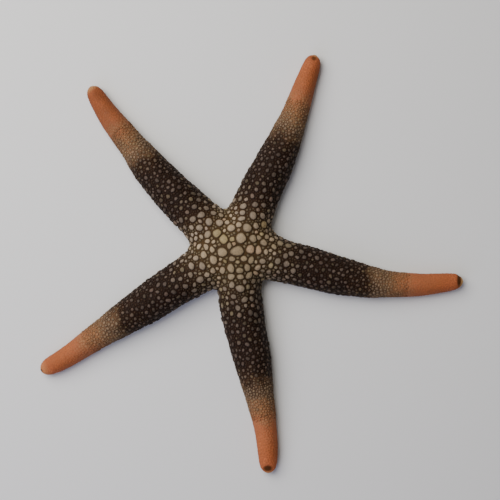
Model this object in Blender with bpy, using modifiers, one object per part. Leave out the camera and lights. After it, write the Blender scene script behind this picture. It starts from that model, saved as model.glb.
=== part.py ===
"""Dried starfish, lying on its underside: one body, grown as one piece.

Five unequal, slightly bent arms run out from a low domed disc. The upper side is set with
raised plates, large on the disc and smaller along the arms, which are smooth near their tips.
The underside has the mouth in the middle and a narrow groove along each arm, between two
strips that dried flat. Lengths are in millimetres until the mesh is made.
"""
import math
import random
from collections import namedtuple

import bmesh
import bpy
import numpy as np
from mathutils import Vector
from mathutils import bvhtree
from mathutils import kdtree
from mathutils import noise

MM = 0.001
NAME = "starfish"

# Where the disc's middle lies, seen from the middle of the star's outline
DISC_CENTRE = (-6.37, 5.02)

# Each arm: the way its tip points from the disc's middle, its length, and how far its middle
# line swings to the left at a few stations along it. The fork is the crotch on its left side,
# seen from the disc's middle. The line's direction is taken over TURN_STEP before and after.
Arm = namedtuple("Arm", "heading length bend fork")
ARMS = (
    Arm(-7.5, 82.4, ((0, 0), (21, -2.1), (34, -3.7), (46, -4.8), (55, -5.0), (68, -3.6), (76, -1.7),
                     (82.4, 0)), (12.2, 6.4)),
    Arm(67.4, 75.4, ((0, 0), (25, -0.7), (36, -1.4), (48, -1.6), (62, -0.8), (75.4, 0)), (-2.9, 12.9)),
    Arm(131.3, 77.7, ((0, 0), (14, 1.6), (26, 2.8), (40, 3.2), (54, 2.6), (66, 1.9), (77.7, 0)),
        (-14.5, 0.9)),
    Arm(212.0, 81.2, ((0, 0), (25, -0.4), (45, 0), (60, 0.3), (72, 0.9), (81.2, 0)), (-4.9, -11.9)),
    Arm(278.7, 80.4, ((0, 0), (22, -0.4), (40, 0.5), (60, 1.4), (72, 1.2), (80.4, 0)), (9.3, -9.0)),
)

TURN_STEP = 0.5

# Half width, height of the back and height of the underside, by share of the arm's length
HALF_WIDTH = ((0.0, 7.9), (0.19, 7.9), (0.27, 7.75), (0.36, 7.35), (0.45, 7.0), (0.54, 6.4), (0.6, 5.75),
              (0.65, 5.25), (0.72, 4.8), (0.81, 4.25), (0.9, 3.8), (0.95, 3.5), (0.985, 3.0))
BACK_HEIGHT = ((0.0, 12.9), (0.09, 12.7), (0.19, 12.0), (0.3, 11.6), (0.45, 11.1), (0.6, 9.5), (0.72, 7.9),
               (0.82, 7.0), (0.9, 6.4), (0.95, 5.8), (0.985, 4.9))
UNDERSIDE_LIFT = ((0.0, 0.0), (0.8, 0.0), (0.9, 0.35), (0.95, 0.9), (0.985, 1.5))
TIP_REACH = 1.008
TIP_HEIGHT = 3.0

# Rings of the loft: share of the arm's length at the back's middle line and at the sides
RINGS = ((0.085, 0.215), (0.18, 0.265), (0.28, 0.32), (0.38, 0.39), (0.47, 0.47), (0.55, 0.55),
         (0.62, 0.62), (0.69, 0.69), (0.76, 0.76), (0.83, 0.83), (0.89, 0.89), (0.94, 0.94), (0.985, 0.985))

# Half section of an arm from the back's middle line round to the underside, as shares of the
# half width and of the height. The last one is sunk, so that the strip is flat after the trim.
SECTION = ((0.0, 1.0), (0.30, 0.965), (0.57, 0.86), (0.80, 0.69), (0.95, 0.47), (0.985, 0.27), (0.88, 0.08))
STRIP_OUTER = 0.68
STRIP_SINK = 0.25

# The groove along the underside: half width by share of the arm's length, depth, and its end
GROOVE_HALF_WIDTH = ((0.085, 1.75), (0.28, 1.3), (0.9, 1.0))
GROOVE_SECTION = ((0.9, 0.25), (0.55, 0.9), (0.0, 1.0))
GROOVE_DEPTH = 1.7
GROOVE_END = 0.965
GROOVE_FADE = 0.06

# Section of a fork from the disc's pole to the crotch and under it, as shares of the fork's reach
# and of the disc's height, and the jaw that stands between two grooves at the mouth
FORK_SECTION = ((0.0, 1.0), (0.36, 0.975), (0.64, 0.9), (0.86, 0.73), (0.975, 0.5), (1.0, 0.29), (0.95, 0.09))
FORK_STRIP = (0.84, 0.6)
JAW_TIP = ((2.9, -0.1), (1.9, 2.0))
MOUTH_DEPTH = 3.4

# Raised plates read off the disc: place from the disc's middle, long and short width, and turn
# in degrees. Those of the middle of the disc come first, then those toward each arm's base.
DISC_PLATES = (
    (1.3, -0.4, 4.6, 3.4, 10), (2.6, 4.1, 3.5, 3.4, 0), (-3.5, 3.8, 3.4, 2.8, 80),
    (-4.0, -0.9, 3.4, 2.8, -45), (5.8, 0.3, 3.0, 2.7, 90), (6.7, 3.9, 2.6, 2.2, -60),
    (4.8, 7.8, 3.3, 2.7, -40), (-0.8, 7.6, 3.0, 2.4, 10), (-5.8, 5.8, 3.3, 2.6, 50),
    (1.8, 8.8, 2.2, 1.7, 0), (-0.5, -3.1, 2.1, 1.5, 0), (3.6, -3.0, 2.1, 1.6, 0),
    (6.1, -3.6, 2.6, 1.8, 90), (-1.4, 1.5, 2.1, 1.4, 90), (8.7, 0.0, 3.4, 1.8, 90),
    (2.8, 10.9, 3.3, 1.5, 3), (6.7, 12.1, 3.1, 2.4, -65), (7.8, 8.5, 2.3, 1.7, -55),
    (3.4, 15.3, 2.6, 2.1, 0), (10.1, 12.0, 2.7, 1.6, -60), (7.5, 15.9, 2.1, 1.8, 0),
    (10.5, 15.7, 1.9, 1.6, -40), (3.1, 13.0, 2.1, 1.6, 0), (-5.0, 9.5, 2.7, 2.5, 0),
    (-8.6, 9.8, 2.9, 2.6, 90), (-9.0, 5.5, 2.9, 2.1, 55), (-11.3, 12.3, 2.9, 2.1, 30),
    (-12.0, 7.7, 2.7, 2.3, 20), (-14.3, 10.8, 2.3, 2.0, 50), (-13.8, 15.0, 2.3, 1.8, 50),
    (-7.1, 12.9, 2.1, 1.6, 15), (-7.1, -3.4, 3.4, 2.4, 110), (-11.0, -5.6, 3.4, 2.0, 110),
    (-14.8, -5.6, 3.3, 2.1, 115), (-10.5, -1.7, 2.6, 2.2, 100), (-13.2, -2.9, 2.2, 2.1, 0),
    (-11.7, -10.4, 2.6, 2.5, 0), (-7.3, -7.3, 2.3, 1.6, 110), (-9.3, -8.6, 1.9, 1.8, 60),
    (-15.1, -8.7, 2.1, 1.6, 120), (-13.8, -14.2, 2.1, 1.6, 10), (-0.9, -6.4, 3.0, 2.3, 90),
    (2.2, -7.1, 2.7, 1.8, 0), (4.7, -6.2, 2.6, 1.8, 90), (-3.9, -7.1, 2.6, 1.8, 95),
    (-0.9, -9.3, 2.6, 1.9, 0), (2.4, -9.4, 2.2, 1.6, 0), (5.4, -8.9, 2.8, 2.0, 50),
    (-0.6, -12.2, 2.6, 2.1, 60), (2.3, -13.5, 3.2, 2.6, -10), (0.0, -16.2, 2.3, 1.5, -15),
    (3.8, -17.3, 2.5, 1.8, 40), (5.8, -21.9, 2.1, 1.8, 90), (10.6, 2.5, 2.4, 2.1, -20),
    (11.3, -0.7, 2.7, 1.3, 90), (10.2, -3.9, 2.1, 1.9, 0), (14.1, 1.1, 2.0, 1.6, 120),
    (16.3, 2.3, 2.5, 2.2, 90), (19.2, 1.4, 2.3, 2.1, 20), (18.1, -2.0, 2.2, 1.6, 80),
    (20.1, -1.3, 2.0, 1.8, 0), (15.4, -3.8, 2.3, 1.9, 45), (18.5, -4.9, 2.3, 2.0, 80),
    (23.7, -0.6, 2.0, 1.6, 100),
)
DISC_PLATE_RISE = 0.75
DISC_PLATE_FACING = 0.2

# Plates scattered over the rest of the back: half width by share of the arm's length. A facing
# is the least that the skin's direction outwards points up where plates are raised.
ARM_PLATE_SIZE = ((0.0, 1.0), (0.15, 1.2), (0.3, 1.4), (0.62, 1.3))
ARM_PLATE_RISE = 0.6
ARM_PLATE_FACING = -0.3
ARM_PLATE_UNEVENNESS = 0.15
PLATED_SHARE = 0.64
PLATED_LOWEST = 1.6
PLATE_GAP = 0.05
PLATE_SPREAD = 1.2
SCATTER_SEED = 11
SCATTER_TRIES = 16000

# Slow unevenness of the dried skin, the distance within which points are the same one, and the
# fineness of the finished mesh
WOBBLE_HEIGHT = 0.3
WOBBLE_SPACING = 11.0
SAME_POINT = 0.01
SUBDIVISIONS = 3
TRIANGLES = 9700
FLAT_TOLERANCE = 0.04

SKIN_COLOUR = (0.09, 0.062, 0.04, 1.0)
SKIN_ROUGHNESS = 0.8


def smooth_through(points, x):
    """Height at x of a smooth line through the given (x, height) points."""
    xs = [point[0] for point in points]
    ys = [point[1] for point in points]
    if x <= xs[0]:
        return ys[0]
    if x >= xs[-1]:
        return ys[-1]
    last = len(xs) - 1
    slopes = [(ys[min(i + 1, last)] - ys[max(i - 1, 0)]) / (xs[min(i + 1, last)] - xs[max(i - 1, 0)])
              for i in range(last + 1)]
    i = max(k for k in range(last) if xs[k] <= x)
    span = xs[i + 1] - xs[i]
    u = (x - xs[i]) / span
    rise = ys[i + 1] - ys[i]
    return (ys[i] + rise * u * u * (3 - 2 * u)
            + span * u * (1 - u) * (slopes[i] * (1 - u) - slopes[i + 1] * u))


def arm_frame(arm, along):
    """Middle line point and the direction to its left, in plan, at a distance along an arm."""
    heading = math.radians(arm.heading)
    ahead = Vector((math.cos(heading), math.sin(heading)))
    left = Vector((-ahead.y, ahead.x))
    swing = smooth_through(arm.bend, along)
    swing_before = smooth_through(arm.bend, along - TURN_STEP)
    swing_after = smooth_through(arm.bend, along + TURN_STEP)
    turn = (swing_after - swing_before) / (2 * TURN_STEP)
    point = ahead * along + left * swing
    across = (left - ahead * turn).normalized()
    return point, across


def arm_point(arm, side, ring, share_x, share_z, offset_x=0.0, offset_z=0.0):
    """One point of an arm's section, in millimetres from the point under the disc's middle.

    side is 1 to the left and -1 to the right; share_x and share_z scale with the half width and
    the height, and the offsets are plain lengths.
    """
    at_middle, at_side = ring
    half_width = smooth_through(HALF_WIDTH, at_side)
    reach = share_x + offset_x / half_width
    share = at_middle + (at_side - at_middle) * reach
    lift = smooth_through(UNDERSIDE_LIFT, share)
    height = smooth_through(BACK_HEIGHT, share) - lift
    point, across = arm_frame(arm, share * arm.length)
    plan = point + across * (side * reach * half_width)
    return Vector((plan.x, plan.y, lift + share_z * height + offset_z))


def arm_half_section(arm, side, ring):
    """Points of one half of an arm's section, from the back round to the groove's bottom."""
    fade = max(0.0, min(1.0, (GROOVE_END - ring[0]) / GROOVE_FADE))
    width = smooth_through(GROOVE_HALF_WIDTH, ring[0])
    points = [arm_point(arm, side, ring, x, z) for x, z in SECTION]
    points.append(arm_point(arm, side, ring, STRIP_OUTER, 0.0, offset_z=-STRIP_SINK))
    points.append(arm_point(arm, side, ring, 0.0, 0.0, width * 1.5, -STRIP_SINK))
    for across, deep in GROOVE_SECTION:
        points.append(arm_point(arm, side, ring, 0.0, 0.0, width * across, deep * fade * GROOVE_DEPTH))
    return points


def fork_half_section(fork):
    """Points down the seam between two arms, from the disc's pole to the mouth's bottom."""
    away = Vector(fork)
    reach = away.length
    away.normalize()
    height = BACK_HEIGHT[0][1]
    profile = [(x * reach, z * height) for x, z in FORK_SECTION]
    profile.extend((x * reach, -STRIP_SINK) for x in FORK_STRIP)
    profile.extend(JAW_TIP)
    profile.append((0.0, MOUTH_DEPTH))
    return [Vector((away.x * x, away.y * x, z)) for x, z in profile]


def closed_ring(left, right):
    """One closed ring from two half sections that share their first and last points."""
    return left + right[-2:0:-1]


def loft_arm(mesh, arm, fork_before):
    """Add one arm's faces, from the seams on its two sides out to its tip."""
    rings = [closed_ring(fork_half_section(arm.fork), fork_half_section(fork_before))]
    for ring in RINGS:
        rings.append(closed_ring(arm_half_section(arm, 1, ring), arm_half_section(arm, -1, ring)))
    rows = [[mesh.verts.new(point) for point in ring] for ring in rings]
    count = len(rows[0])
    for near, far in zip(rows, rows[1:]):
        for k in range(count):
            after = (k + 1) % count
            mesh.faces.new((near[k], far[k], far[after], near[after]))
    plan, _ = arm_frame(arm, TIP_REACH * arm.length)
    tip = mesh.verts.new((plan.x, plan.y, TIP_HEIGHT))
    last = rows[-1]
    for k in range(count):
        mesh.faces.new((last[k], tip, last[(k + 1) % count]))


def star_cage():
    """Coarse closed cage of the whole star, in millimetres from the disc's middle."""
    cage = bmesh.new()
    for number, arm in enumerate(ARMS):
        loft_arm(cage, arm, ARMS[number - 1].fork)
    bmesh.ops.remove_doubles(cage, verts=cage.verts, dist=SAME_POINT)
    bmesh.ops.recalc_face_normals(cage, faces=cage.faces)
    bmesh.ops.translate(cage, verts=cage.verts, vec=(DISC_CENTRE[0], DISC_CENTRE[1], 0.0))
    data = bpy.data.meshes.new(NAME)
    cage.to_mesh(data)
    cage.free()
    return data


def evaluated(obj):
    """The object's mesh with its modifiers carried out, as a new mesh."""
    depsgraph = bpy.context.evaluated_depsgraph_get()
    return bpy.data.meshes.new_from_object(obj.evaluated_get(depsgraph))


def arm_share(x, y):
    """How far along the nearest arm a place in plan lies, as a share of that arm's length."""
    from_disc = Vector((x - DISC_CENTRE[0], y - DISC_CENTRE[1]))
    best = 0.0
    for arm in ARMS:
        heading = math.radians(arm.heading)
        along = from_disc.x * math.cos(heading) + from_disc.y * math.sin(heading)
        best = max(best, along / arm.length)
    return best


def scatter_plates(places, upper, fixed):
    """Seeded plates over the back between the fixed ones: (centre, half width) pairs."""
    chance = random.Random(SCATTER_SEED)
    cell = 2.0 * (ARM_PLATE_SIZE[2][1] + PLATE_GAP) + max(plate[2] for plate in DISC_PLATES) / 2
    taken = {}
    for centre, radius in fixed:
        key = (int(centre[0] // cell), int(centre[1] // cell))
        taken.setdefault(key, []).append((centre, radius))
    plates = []
    for _ in range(SCATTER_TRIES):
        centre = places[chance.choice(upper)]
        share = arm_share(centre[0], centre[1])
        if share > PLATED_SHARE or centre[2] < PLATED_LOWEST:
            continue
        unevenness = chance.uniform(-ARM_PLATE_UNEVENNESS, ARM_PLATE_UNEVENNESS)
        radius = smooth_through(ARM_PLATE_SIZE, share) * (1.0 + unevenness)
        key = (int(centre[0] // cell), int(centre[1] // cell))
        near = [other for i in (-1, 0, 1) for j in (-1, 0, 1)
                for other in taken.get((key[0] + i, key[1] + j), ())]
        if all(math.dist(centre, other) > radius + size + PLATE_GAP for other, size in near):
            plates.append((centre, radius))
            taken.setdefault(key, []).append((centre, radius))
    return plates


def raise_plates(data):
    """Lift the plates and the slow unevenness out of the smooth skin of the back."""
    count = len(data.vertices)
    places = np.empty(count * 3)
    normals = np.empty(count * 3)
    data.vertices.foreach_get("co", places)
    data.vertices.foreach_get("normal", normals)
    places = places.reshape(-1, 3)
    normals = normals.reshape(-1, 3)
    lift = np.zeros(count)
    top = bvhtree.BVHTree.FromPolygons(data_points(data), [tuple(face.vertices) for face in data.polygons])

    fixed = []
    facing_up = normals[:, 2] > DISC_PLATE_FACING
    for x, y, long_width, short_width, turn in DISC_PLATES:
        above = Vector((DISC_CENTRE[0] + x, DISC_CENTRE[1] + y, 2 * BACK_HEIGHT[0][1]))
        hit = top.ray_cast(above, Vector((0.0, 0.0, -1.0)))[0]
        fixed.append((tuple(hit), (long_width + short_width) / 4))
        angle = math.radians(turn)
        away = places[:, :2] - np.array(hit[:2])
        u = (away[:, 0] * math.cos(angle) + away[:, 1] * math.sin(angle)) / (long_width / 2)
        v = (away[:, 1] * math.cos(angle) - away[:, 0] * math.sin(angle)) / (short_width / 2)
        inside = np.clip(1.0 - (u * u + v * v) / PLATE_SPREAD ** 2, 0.0, 1.0) * facing_up
        lift = np.maximum(lift, DISC_PLATE_RISE * inside)

    tree = kdtree.KDTree(count)
    for index, place in enumerate(places):
        tree.insert(place, index)
    tree.balance()
    upper = np.nonzero(normals[:, 2] > ARM_PLATE_FACING)[0].tolist()
    for centre, radius in scatter_plates(places.tolist(), upper, fixed):
        spread = PLATE_SPREAD * radius
        for _, index, distance in tree.find_range(centre, spread):
            rise = ARM_PLATE_RISE * (1.0 - (distance / spread) ** 2)
            lift[index] = max(lift[index], rise)

    for index in np.nonzero(places[:, 2] > PLATED_LOWEST)[0]:
        lift[index] += WOBBLE_HEIGHT * noise.noise(Vector(places[index] / WOBBLE_SPACING))
    places += normals * lift[:, None]
    places[:, 2] = np.maximum(places[:, 2], 0.0)
    data.vertices.foreach_set("co", places.ravel())
    data.update()


def data_points(data):
    """The mesh's points as a list of vectors."""
    return [vertex.co.copy() for vertex in data.vertices]


def skin_material():
    """Dull dark brown dried skin."""
    material = bpy.data.materials.new("dried skin")
    material.use_nodes = True
    surface = material.node_tree.nodes["Principled BSDF"]
    surface.inputs["Base Color"].default_value = SKIN_COLOUR
    surface.inputs["Roughness"].default_value = SKIN_ROUGHNESS
    surface.inputs["Metallic"].default_value = 0.0
    return material


def make_starfish(collection):
    """The whole star as one closed mesh, in metres."""
    star = bpy.data.objects.new(NAME, star_cage())
    collection.objects.link(star)
    rounding = star.modifiers.new("rounding", "SUBSURF")
    rounding.levels = SUBDIVISIONS
    rounding.render_levels = SUBDIVISIONS
    smooth = evaluated(star)
    raise_plates(smooth)
    star.modifiers.clear()
    star.data = smooth
    thinning = star.modifiers.new("thinning", "DECIMATE")
    thinning.use_collapse_triangulate = True
    triangles = sum(len(face.vertices) - 2 for face in smooth.polygons)
    thinning.ratio = TRIANGLES / triangles
    finished = evaluated(star)
    star.modifiers.clear()
    star.data = finished
    for vertex in finished.vertices:
        if vertex.co.z < FLAT_TOLERANCE:
            vertex.co.z = 0.0
        vertex.co *= MM
    finished.shade_smooth()
    finished.materials.clear()
    finished.materials.append(skin_material())
    return star


def main():
    """Build the starfish in an emptied scene."""
    for obj in list(bpy.data.objects):
        bpy.data.objects.remove(obj, do_unlink=True)
    collection = bpy.data.collections.new("dried starfish")
    bpy.context.scene.collection.children.link(collection)
    make_starfish(collection)


main()
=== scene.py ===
"""The looks of a dried starfish: its skin, plates, granules, underside and the studio round it.

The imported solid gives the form. Its skin is taken over as a fine even mesh, and every plate and
granule of the back and the underside is a small closed pebble that lies on that skin. Lengths are
in metres unless a comment says millimetres.
"""
import logging
import math
from dataclasses import dataclass, field
from enum import Enum
from typing import Sequence

import bmesh
import bpy
import numpy as np
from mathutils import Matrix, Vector
from mathutils.bvhtree import BVHTree
from mathutils.kdtree import KDTree


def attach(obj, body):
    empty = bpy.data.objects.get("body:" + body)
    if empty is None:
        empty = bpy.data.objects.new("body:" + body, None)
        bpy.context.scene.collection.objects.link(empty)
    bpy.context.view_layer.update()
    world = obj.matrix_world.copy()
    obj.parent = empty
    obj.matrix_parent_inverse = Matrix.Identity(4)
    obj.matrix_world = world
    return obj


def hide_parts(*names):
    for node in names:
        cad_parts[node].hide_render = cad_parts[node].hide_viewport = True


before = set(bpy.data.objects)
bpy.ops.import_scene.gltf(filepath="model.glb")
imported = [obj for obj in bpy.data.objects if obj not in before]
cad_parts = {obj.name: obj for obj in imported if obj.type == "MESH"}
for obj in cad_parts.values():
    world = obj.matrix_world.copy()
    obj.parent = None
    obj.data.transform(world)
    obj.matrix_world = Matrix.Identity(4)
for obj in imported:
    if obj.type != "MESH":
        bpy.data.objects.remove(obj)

LOG = logging.getLogger("starfish")
MM = 0.001
BODY = "root"
NODE = "starfish"
SEED = 20
WELD = 0.001 * MM
JAW_STEP = 0.1 * MM
UP = Vector((0.0, 0.0, 1.0))
DOWNWARD = np.array([0.0, 0.0, -1.0])
EVERY_WAY = {"use_axis_x": True, "use_axis_y": True, "use_axis_z": True}
# Where a groove's roof is measured, as offsets to the left of the arm's middle line
GROOVE_OFFSETS = np.arange(-3.0, 3.05, 0.1) * MM

Array = np.ndarray
Chance = np.random.Generator
Mesh, Material = bpy.types.Mesh, bpy.types.Material
Socket, Outputs = bpy.types.NodeSocket, bpy.types.NodeOutputs
Pair = tuple[float, float]
Place = tuple[float, float, float]
Colour = Place
Stops = tuple[tuple[float, Colour], ...]
Line = tuple[Pair, ...]


class Kind(Enum):
    """The sorts of hard piece that the skin carries."""

    DISC = "disc_plates"
    SIEVE = "sieve_plate"
    MAIN = "arm_plates"
    FILL = "small_plates"
    TAN = "tan_granules"
    TIP = "tip_granules"
    UNDER = "underside_granules"


@dataclass(frozen=True)
class Tip:
    """An arm's end: a dark sunken spot on it, and pale skin beyond.

    The spot's middle lies back from the very end, along and across are its half sizes, and deep
    says how dark it is: partly the skin's own dark brown, partly painted shade in the sunken groove
    end. pale says how pale the skin is over pale_length from the end. Lengths are in millimetres.
    """

    back: float
    along: float
    across: float
    deep: float
    pale: float
    pale_length: float


@dataclass(frozen=True)
class Arm:
    """One arm, from the disc's middle to its end.

    heading is in degrees from +X towards +Y. bend gives how far the middle line swings to the left
    at a few stations, and fork is the crotch on the arm's left side, both in millimetres. The arm's
    painted light says how much lighter or darker its orange end is painted beside the others:
    painted light and shade that tempers how unevenly the lamps light the arms.
    """

    name: str
    heading: float
    length: float
    bend: Line
    fork: Pair
    glow: float
    tip: Tip

    @property
    def ahead(self) -> Array:
        """The direction in plan that the arm points in."""
        heading = math.radians(self.heading)
        return np.array([math.cos(heading), math.sin(heading)])

    def middle(self, along: float) -> tuple[Array, Array]:
        """The middle line in plan.

        Args:
            along: Distance out along the arm.

        Returns:
            The point, seen from the disc's middle, and the direction to its left.
        """
        left = np.array([-self.ahead[1], self.ahead[0]])
        stations, swings = (np.array(self.bend) * MM).T
        step = 1.5 * MM
        before, here, after = np.interp((along - step, along, along + step), stations, swings)
        across = left - self.ahead * (after - before) / (2 * step)
        return self.ahead * along + left * here, across / np.linalg.norm(across)


@dataclass(frozen=True)
class BodyPlan:
    """Where the disc's middle is, the five arms round it, and how their marks and painted light run.

    A dark spot ends at spot_edge times its half size and a pale end at cap_edge times its length,
    both within tip_zone of an arm's end. The disc is painted lighter by up to light_gain toward
    light_way and darker away from it, as painted light.
    """

    centre: Pair = (-6.37 * MM, 5.02 * MM)
    arms: tuple[Arm, ...] = (
        Arm("right", -7.5, 82.4 * MM,
            ((0, 0), (21, -2.1), (34, -3.7), (46, -4.8), (55, -5.0), (68, -3.6), (76, -1.7), (82.4, 0)),
            (12.2, 6.4), 1.1, Tip(1.6, 0.7, 2.0, 1.0, 1.0, 1.3)),
        Arm("upper right", 67.4, 75.4 * MM,
            ((0, 0), (25, -0.7), (36, -1.4), (48, -1.6), (62, -0.8), (75.4, 0)),
            (-2.9, 12.9), 0.98, Tip(1.6, 0.8, 0.9, 0.75, 0.6, 0.8)),
        Arm("upper left", 131.3, 77.7 * MM,
            ((0, 0), (14, 1.6), (26, 2.8), (40, 3.2), (54, 2.6), (66, 1.9), (77.7, 0)),
            (-14.5, 0.9), 0.76, Tip(4.6, 2.4, 1.5, 0.36, 0.45, 1.6)),
        Arm("lower left", 212.0, 81.2 * MM, ((0, 0), (25, -0.4), (45, 0), (60, 0.3), (72, 0.9), (81.2, 0)),
            (-4.9, -11.9), 1.08, Tip(0.3, 0.35, 0.4, 1.0, 0.25, 2.5)),
        Arm("bottom", 278.7, 80.4 * MM, ((0, 0), (22, -0.4), (40, 0.5), (60, 1.4), (72, 1.2), (80.4, 0)),
            (9.3, -9.0), 1.15, Tip(1.9, 1.0, 1.4, 1.0, 0.5, 0.8)),
    )
    mouth_half: float = 0.95 * MM
    mouth_top: float = 6.0 * MM
    spot_edge: float = 1.6
    cap_edge: float = 1.4
    tip_zone: float = 8.0 * MM
    # Painted light: the disc is painted lighter toward light_way and darker away from it, over light_reach.
    light_way: Pair = (-0.5, 0.86)
    light_reach: float = 11.0 * MM
    light_gain: float = 0.16
    disc_fade: Pair = (0.32, 0.2)
    end_fade: Pair = (0.62, 0.84)

    def share(self, places: Array) -> tuple[Array, Array]:
        """How far out along its arm each place lies.

        Args:
            places: One row a place, x and y first.

        Returns:
            The share of the arm's length, and the number of the arm.
        """
        x, y = (places[:, :2] - np.array(self.centre)).T
        shares = np.array([(x * arm.ahead[0] + y * arm.ahead[1]) / arm.length for arm in self.arms])
        return shares.max(0), shares.argmax(0)

    def glow(self, places: Array) -> Array:
        """How much lighter or darker each place is painted beside the same place on the other arms: painted
        light and shade.

        Args:
            places: One row a place, x and y first.

        Returns:
            One number a place, 1 where no painted light or shade is added.
        """
        share, number = self.share(places)
        glow = np.array([arm.glow for arm in self.arms])[number]
        slope = (places[:, :2] - np.array(self.centre)) @ np.array(self.light_way) / self.light_reach
        disc = 1.0 + self.light_gain * np.clip(slope, -1.0, 1.0) * fade(share, *self.disc_fade)
        return disc * (1.0 + (glow - 1.0) * fade(share, *self.end_fade))

    def marks(self, places: Array) -> tuple[Array, Array]:
        """How much each place belongs to a dark spot and to a pale end. A dark spot is partly the skin's own
        dark brown and partly painted shade in the sunken groove ends and the mouth's pit.

        Args:
            places: One row a place.

        Returns:
            The share of dark and the share of pale, both from 0 to 1.
        """
        away = places[:, :2] - np.array(self.centre)
        far = np.linalg.norm(away, axis=1) / self.mouth_half
        # The mouth is marked dark: partly its own dark brown, partly painted shade in its pit.
        dark = np.clip(self.spot_edge - far, 0.0, 1.0) * (places[:, 2] < self.mouth_top)
        pale = np.zeros(len(places))
        for arm in self.arms:
            tip = arm.tip
            end, left = arm.middle(arm.length)
            across = (away - end) @ left
            behind = (away - end) @ np.array([-left[1], left[0]])
            near = np.hypot(behind, across) < self.tip_zone
            far = np.hypot((behind - tip.back * MM) / (tip.along * MM), across / (tip.across * MM))
            dark = np.maximum(dark, tip.deep * np.clip(self.spot_edge - far, 0.0, 1.0) * near)
            capped = np.clip(self.cap_edge - behind / (tip.pale_length * MM), 0.0, 1.0)
            pale = np.maximum(pale, tip.pale * capped * near)
        return dark, pale


PLAN = BodyPlan()

# Plates read off the photo: place from the disc's middle, long and short width in
# millimetres, and turn in degrees. The middle of the disc comes first, then each arm's base.
SIEVE_PLATE = (10.65, 8.9, 2.7, 2.7, 0)
READ_PLATES = (
    (1.3, -0.4, 4.6, 3.4, 10), (2.6, 4.1, 3.5, 3.4, 0), (-3.5, 3.8, 3.4, 2.8, 80),
    (-4.0, -0.9, 3.4, 2.8, -45), (5.8, 0.3, 3.0, 2.7, 90), (6.7, 3.9, 2.6, 2.2, -60),
    (4.8, 7.8, 3.3, 2.7, -40), (-0.8, 7.6, 3.0, 2.4, 10), (-5.8, 5.8, 3.3, 2.6, 50),
    (1.8, 8.8, 2.2, 1.7, 0), (-0.5, -3.1, 2.1, 1.5, 0), (3.6, -3.0, 2.1, 1.6, 0),
    (6.1, -3.6, 2.6, 1.8, 90), (-1.4, 1.5, 2.1, 1.4, 90), (-0.5, 3.8, 1.7, 1.5, 60),
    (8.7, 0.0, 3.4, 1.8, 90), (2.8, 10.9, 3.3, 1.5, 3), (6.7, 12.1, 3.1, 2.4, -65),
    (7.8, 8.5, 2.3, 1.7, -55), (3.4, 15.3, 2.6, 2.1, 0), (10.1, 12.0, 2.7, 1.6, -60),
    (7.5, 15.9, 2.1, 1.8, 0), (10.5, 15.7, 1.9, 1.6, -40), (3.1, 13.0, 2.1, 1.6, 0),
    (0.1, 11.0, 1.3, 1.2, 0), (1.0, 13.0, 1.3, 1.2, 0), (-2.3, 9.6, 1.6, 1.5, 0), (-5.0, 9.5, 2.7, 2.5, 0),
    (-8.6, 9.8, 2.9, 2.6, 90), (-9.0, 5.5, 2.9, 2.1, 55), (-11.3, 12.3, 2.9, 2.1, 30),
    (-12.0, 7.7, 2.7, 2.3, 20), (-14.3, 10.8, 2.3, 2.0, 50), (-13.8, 15.0, 2.3, 1.8, 50),
    (-7.1, 12.9, 2.1, 1.6, 15), (-14.8, 7.9, 1.9, 1.8, 0), (-18.4, 10.5, 2.3, 1.6, 100),
    (-9.6, 14.6, 2.1, 1.7, 10), (-12.3, 17.5, 1.8, 1.6, 0), (-7.1, -3.4, 3.4, 2.4, 110),
    (-11.0, -5.6, 3.4, 2.0, 110), (-14.8, -5.6, 3.3, 2.1, 115), (-10.5, -1.7, 2.6, 2.2, 100),
    (-13.2, -2.9, 2.2, 2.1, 0), (-11.7, -10.4, 2.6, 2.5, 0), (-7.3, -7.3, 2.3, 1.6, 110),
    (-9.3, -8.6, 1.9, 1.8, 60), (-15.1, -8.7, 2.1, 1.6, 120), (-13.8, -14.2, 2.1, 1.6, 10),
    (-16.9, -12.7, 2.0, 1.7, -20), (-9.6, 1.0, 2.1, 1.6, 110), (-7.5, 0.1, 2.3, 1.5, 100),
    (-9.1, 3.1, 1.8, 1.2, 20), (-0.9, -6.4, 3.0, 2.3, 90), (2.2, -7.1, 2.7, 1.8, 0),
    (4.7, -6.2, 2.6, 1.8, 90), (-3.9, -7.1, 2.6, 1.8, 95), (-0.9, -9.3, 2.6, 1.9, 0),
    (2.4, -9.4, 2.2, 1.6, 0), (5.4, -8.9, 2.8, 2.0, 50), (-0.6, -12.2, 2.6, 2.1, 60),
    (2.3, -13.5, 3.2, 2.6, -10), (6.9, -10.9, 1.9, 1.6, 30), (-3.1, -13.6, 2.0, 1.4, -35),
    (6.5, -14.7, 2.2, 1.3, 15), (0.0, -16.2, 2.3, 1.5, -15), (3.8, -17.3, 2.5, 1.8, 40),
    (1.5, -20.3, 1.8, 1.8, 0), (5.8, -21.9, 2.1, 1.8, 90), (10.6, 2.5, 2.4, 2.1, -20),
    (8.8, 4.3, 1.5, 1.4, 0), (11.6, 4.5, 1.8, 1.4, 90), (11.3, -0.7, 2.7, 1.3, 90),
    (10.2, -3.9, 2.1, 1.9, 0), (14.1, 1.1, 2.0, 1.6, 120), (16.3, 2.3, 2.5, 2.2, 90),
    (19.2, 1.4, 2.3, 2.1, 20), (18.1, -2.0, 2.2, 1.6, 80), (20.1, -1.3, 2.0, 1.8, 0),
    (15.4, -3.8, 2.3, 1.9, 45), (18.5, -4.9, 2.3, 2.0, 80), (20.8, -7.3, 1.8, 1.8, 0),
    (23.7, -0.6, 2.0, 1.6, 100),
)
# How much wider the read plates are than what was read, because the photo blurs their edges
READ_PLATE_WIDER = 1.12


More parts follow.
